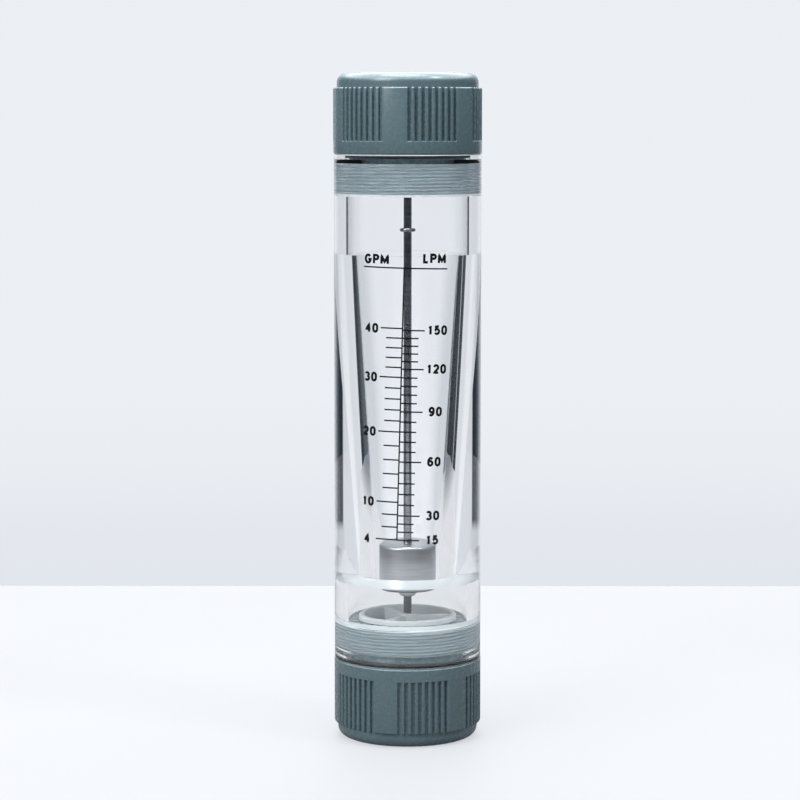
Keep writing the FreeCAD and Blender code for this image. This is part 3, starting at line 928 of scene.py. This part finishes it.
def add_side(ink, lines, side):
    """Ticks and numerals on the left (-1) or the right (1) of the upright line."""
    numbered = [(numeral, level * MM) for numeral, level in lines.items()]
    ticks = [(numbered[0][1], LONG_TICK)]
    for index in range(1, len(numbered)):
        low = numbered[index - 1][1]
        high = numbered[index][1]
        count = STEPS_BETWEEN_LINES[min(index - 1, len(STEPS_BETWEEN_LINES) - 1)]
        for step in range(1, count + 1):
            length = LONG_TICK if step == count else SHORT_TICK
            ticks.append((low + (high - low) * step / count, length))
    for level, length in ticks:
        add_bar(ink, scale_line_offset(level) + side * length / 2, level, length, INK_WIDTH)
    for numeral, level in numbered:
        across = scale_line_offset(level) + side * NUMERAL_REACH[side]
        add_words(ink, numeral, across, level, NUMERAL_HEIGHT)


def make_scale(material):
    """Printed scale: the flat print is drawn first and then wrapped round the tube."""
    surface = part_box("tube_body")[1].x
    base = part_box("tube_body")[0].z
    ink = bmesh.new()
    add_side(ink, GALLON_LINES, -1)
    add_side(ink, LITRE_LINES, 1)
    ends = [Vector((scale_line_offset(height), height)) for height in (SCALE_FOOT, HEADER_HEIGHT)]
    add_ribbon(ink, ends, INK_WIDTH)
    add_bar(ink, HEADER_ANGLE * surface, HEADER_HEIGHT, HEADER_LENGTH, INK_WIDTH)
    for words, angle, level in HEADINGS:
        add_words(ink, words, math.radians(angle) * surface, level * MM, HEADING_HEIGHT)
    for vertex in ink.verts:
        angle = vertex.co.x / surface - math.pi / 2
        radius = surface + INK_GAP + vertex.co.z
        vertex.co = (radius * math.cos(angle), radius * math.sin(angle), base + vertex.co.y)
    mesh = bpy.data.meshes.new("printed_scale")
    bmesh.ops.recalc_face_normals(ink, faces=ink.faces)
    ink.to_mesh(mesh)
    ink.free()
    piece = bpy.data.objects.new("printed_scale", mesh)
    bpy.context.scene.collection.objects.link(piece)
    stand_for(piece, METER, "scale_marks", material)


# ---------------------------------------------------------------- studio

def degree_ramp(tree, away, stops):
    """Colour ramp whose stops are in degrees from straight behind the meter."""
    return ramp_node(tree, away, [(degrees / HALF_TURN, colour) for degrees, colour in stops])


def wall_for_camera(tree, rise):
    """Pale wall, a little darker towards the table."""
    return ramp_node(tree, map_range(tree, rise, WALL_RISE), WALL_STOPS)


def view_through_glass(tree, rise, turn, away, overhead):
    """Pale wall in the middle, darker panels to the sides and the ceiling overhead."""
    panels = degree_ramp(tree, away, PANELS)
    wide_panels = degree_ramp(tree, away, WIDE_PANELS)
    steep = math_node(tree, "LESS_THAN", rise, STEEP)
    wide = math_node(tree, "MULTIPLY", steep, math_node(tree, "GREATER_THAN", turn, 0.0))
    panels = mix_colour(tree, wide, panels, wide_panels)
    gap = map_range(tree, rise, PANEL_FOOT)
    gap = math_node(tree, "MULTIPLY", gap, math_node(tree, "SUBTRACT", 1.0, steep))
    gap = math_node(tree, "MULTIPLY", gap, math_node(tree, "LESS_THAN", away, CLEAR_REACH / HALF_TURN))
    panels = mix_colour(tree, gap, panels, degree_ramp(tree, away, CLEAR_PANELS))
    return mix_colour(tree, overhead, panels, CEILING)


def light_through_glass(tree, rise, away):
    """Light on the pieces inside the tube, which the lamps don't reach. Most of it is from the front."""
    inner = mix_colour(tree, map_range(tree, away, INNER_TURN), INNER_BACK, INNER_FRONT)
    return mix_colour(tree, map_range(tree, rise, INNER_RISE), INNER_LOW, inner)


def make_world():
    """Pale studio wall for the camera, panels for glass, a room for gloss, and even light for the rest."""
    world = bpy.data.worlds.new("studio")
    bpy.context.scene.world = world
    world.use_nodes = True
    tree = world.node_tree
    where = tree.nodes.new("ShaderNodeTexCoord")
    split = tree.nodes.new("ShaderNodeSeparateXYZ")
    tree.links.new(where.outputs["Generated"], split.inputs[0])
    rays = tree.nodes.new("ShaderNodeLightPath")
    rise = split.outputs["Z"]
    turn = math_node(tree, "ARCTAN2", split.outputs["X"], split.outputs["Y"])
    away = math_node(tree, "DIVIDE", math_node(tree, "ABSOLUTE", turn), math.pi)
    overhead = map_range(tree, rise, CEILING_RISE)

    from_matt = math_node(tree, "GREATER_THAN", rays.outputs["Diffuse Depth"], MATT_DEPTH)
    through = view_through_glass(tree, rise, turn, away, overhead)
    through = mix_colour(tree, from_matt, through, light_through_glass(tree, rise, away))
    mirrored = mix_colour(tree, overhead, degree_ramp(tree, away, ROOM_SIDES), SOFT_CEILING)
    colour = mix_colour(tree, rays.outputs["Is Camera Ray"], FILL, wall_for_camera(tree, rise))
    colour = mix_colour(tree, rays.outputs["Is Glossy Ray"], colour, mirrored)
    colour = mix_colour(tree, rays.outputs["Is Transmission Ray"], colour, through)
    tree.links.new(colour, tree.nodes["Background"].inputs["Color"])


def make_floor():
    """Pale table top, its far edge a little behind the meter."""
    mesh = bpy.data.meshes.new("table_top")
    corners = [(x, y, 0) for x, y in TABLE_SIDE] + [(-x, y, 0) for x, y in reversed(TABLE_SIDE)]
    mesh.from_pydata(corners, [], [range(len(corners))])
    table = bpy.data.objects.new("table_top", mesh)
    bpy.context.scene.collection.objects.link(table)
    mesh.materials.append(table_paint())


def add_softbox(name, place, width, height, watts):
    """Rectangular soft lamp aimed at the meter's middle."""
    lamp = bpy.data.lights.new(name, "AREA")
    lamp.shape = "RECTANGLE"
    lamp.size = width
    lamp.size_y = height
    lamp.energy = watts
    holder = bpy.data.objects.new(name, lamp)
    holder.location = place
    holder.rotation_euler = (Vector(LAMP_AIM) - Vector(place)).to_track_quat("-Z", "Y").to_euler()
    bpy.context.scene.collection.objects.link(holder)


def make_camera():
    """The photograph's view."""
    data = bpy.data.cameras.new("camera")
    data.lens = LENS
    data.sensor_width = SENSOR
    camera = bpy.data.objects.new("camera", data)
    camera.location = (0, -EYE_DISTANCE, EYE_HEIGHT)
    camera.rotation_euler = (math.pi / 2 - EYE_PITCH, 0, EYE_YAW)
    bpy.context.scene.collection.objects.link(camera)
    bpy.context.scene.camera = camera


def build():
    """Make every piece, the studio and the camera."""
    bpy.context.scene.view_settings.view_transform = "Standard"
    plastic = grey_plastic()
    rubber = black_rubber()
    support = white_plastic()
    steel = rod_steel()
    make_tube(clear_acrylic(), threaded_acrylic(), faced_acrylic_painted_glow())
    make_fitting("lower_fitting", plastic)
    make_fitting("upper_fitting", plastic)
    make_rod(steel)
    make_float(float_steel())
    make_scale(black_ink())
    finish_node("lower_seal_ring", rubber)
    finish_node("upper_seal_ring", rubber)
    finish_node("lower_rod_support", support)
    finish_node("upper_rod_support", support)
    finish_node("lower_stop_nut", steel)
    finish_node("upper_stop_ring", steel)
    make_world()
    make_floor()
    for lamp in LAMPS:
        add_softbox(*lamp)
    make_camera()


build()
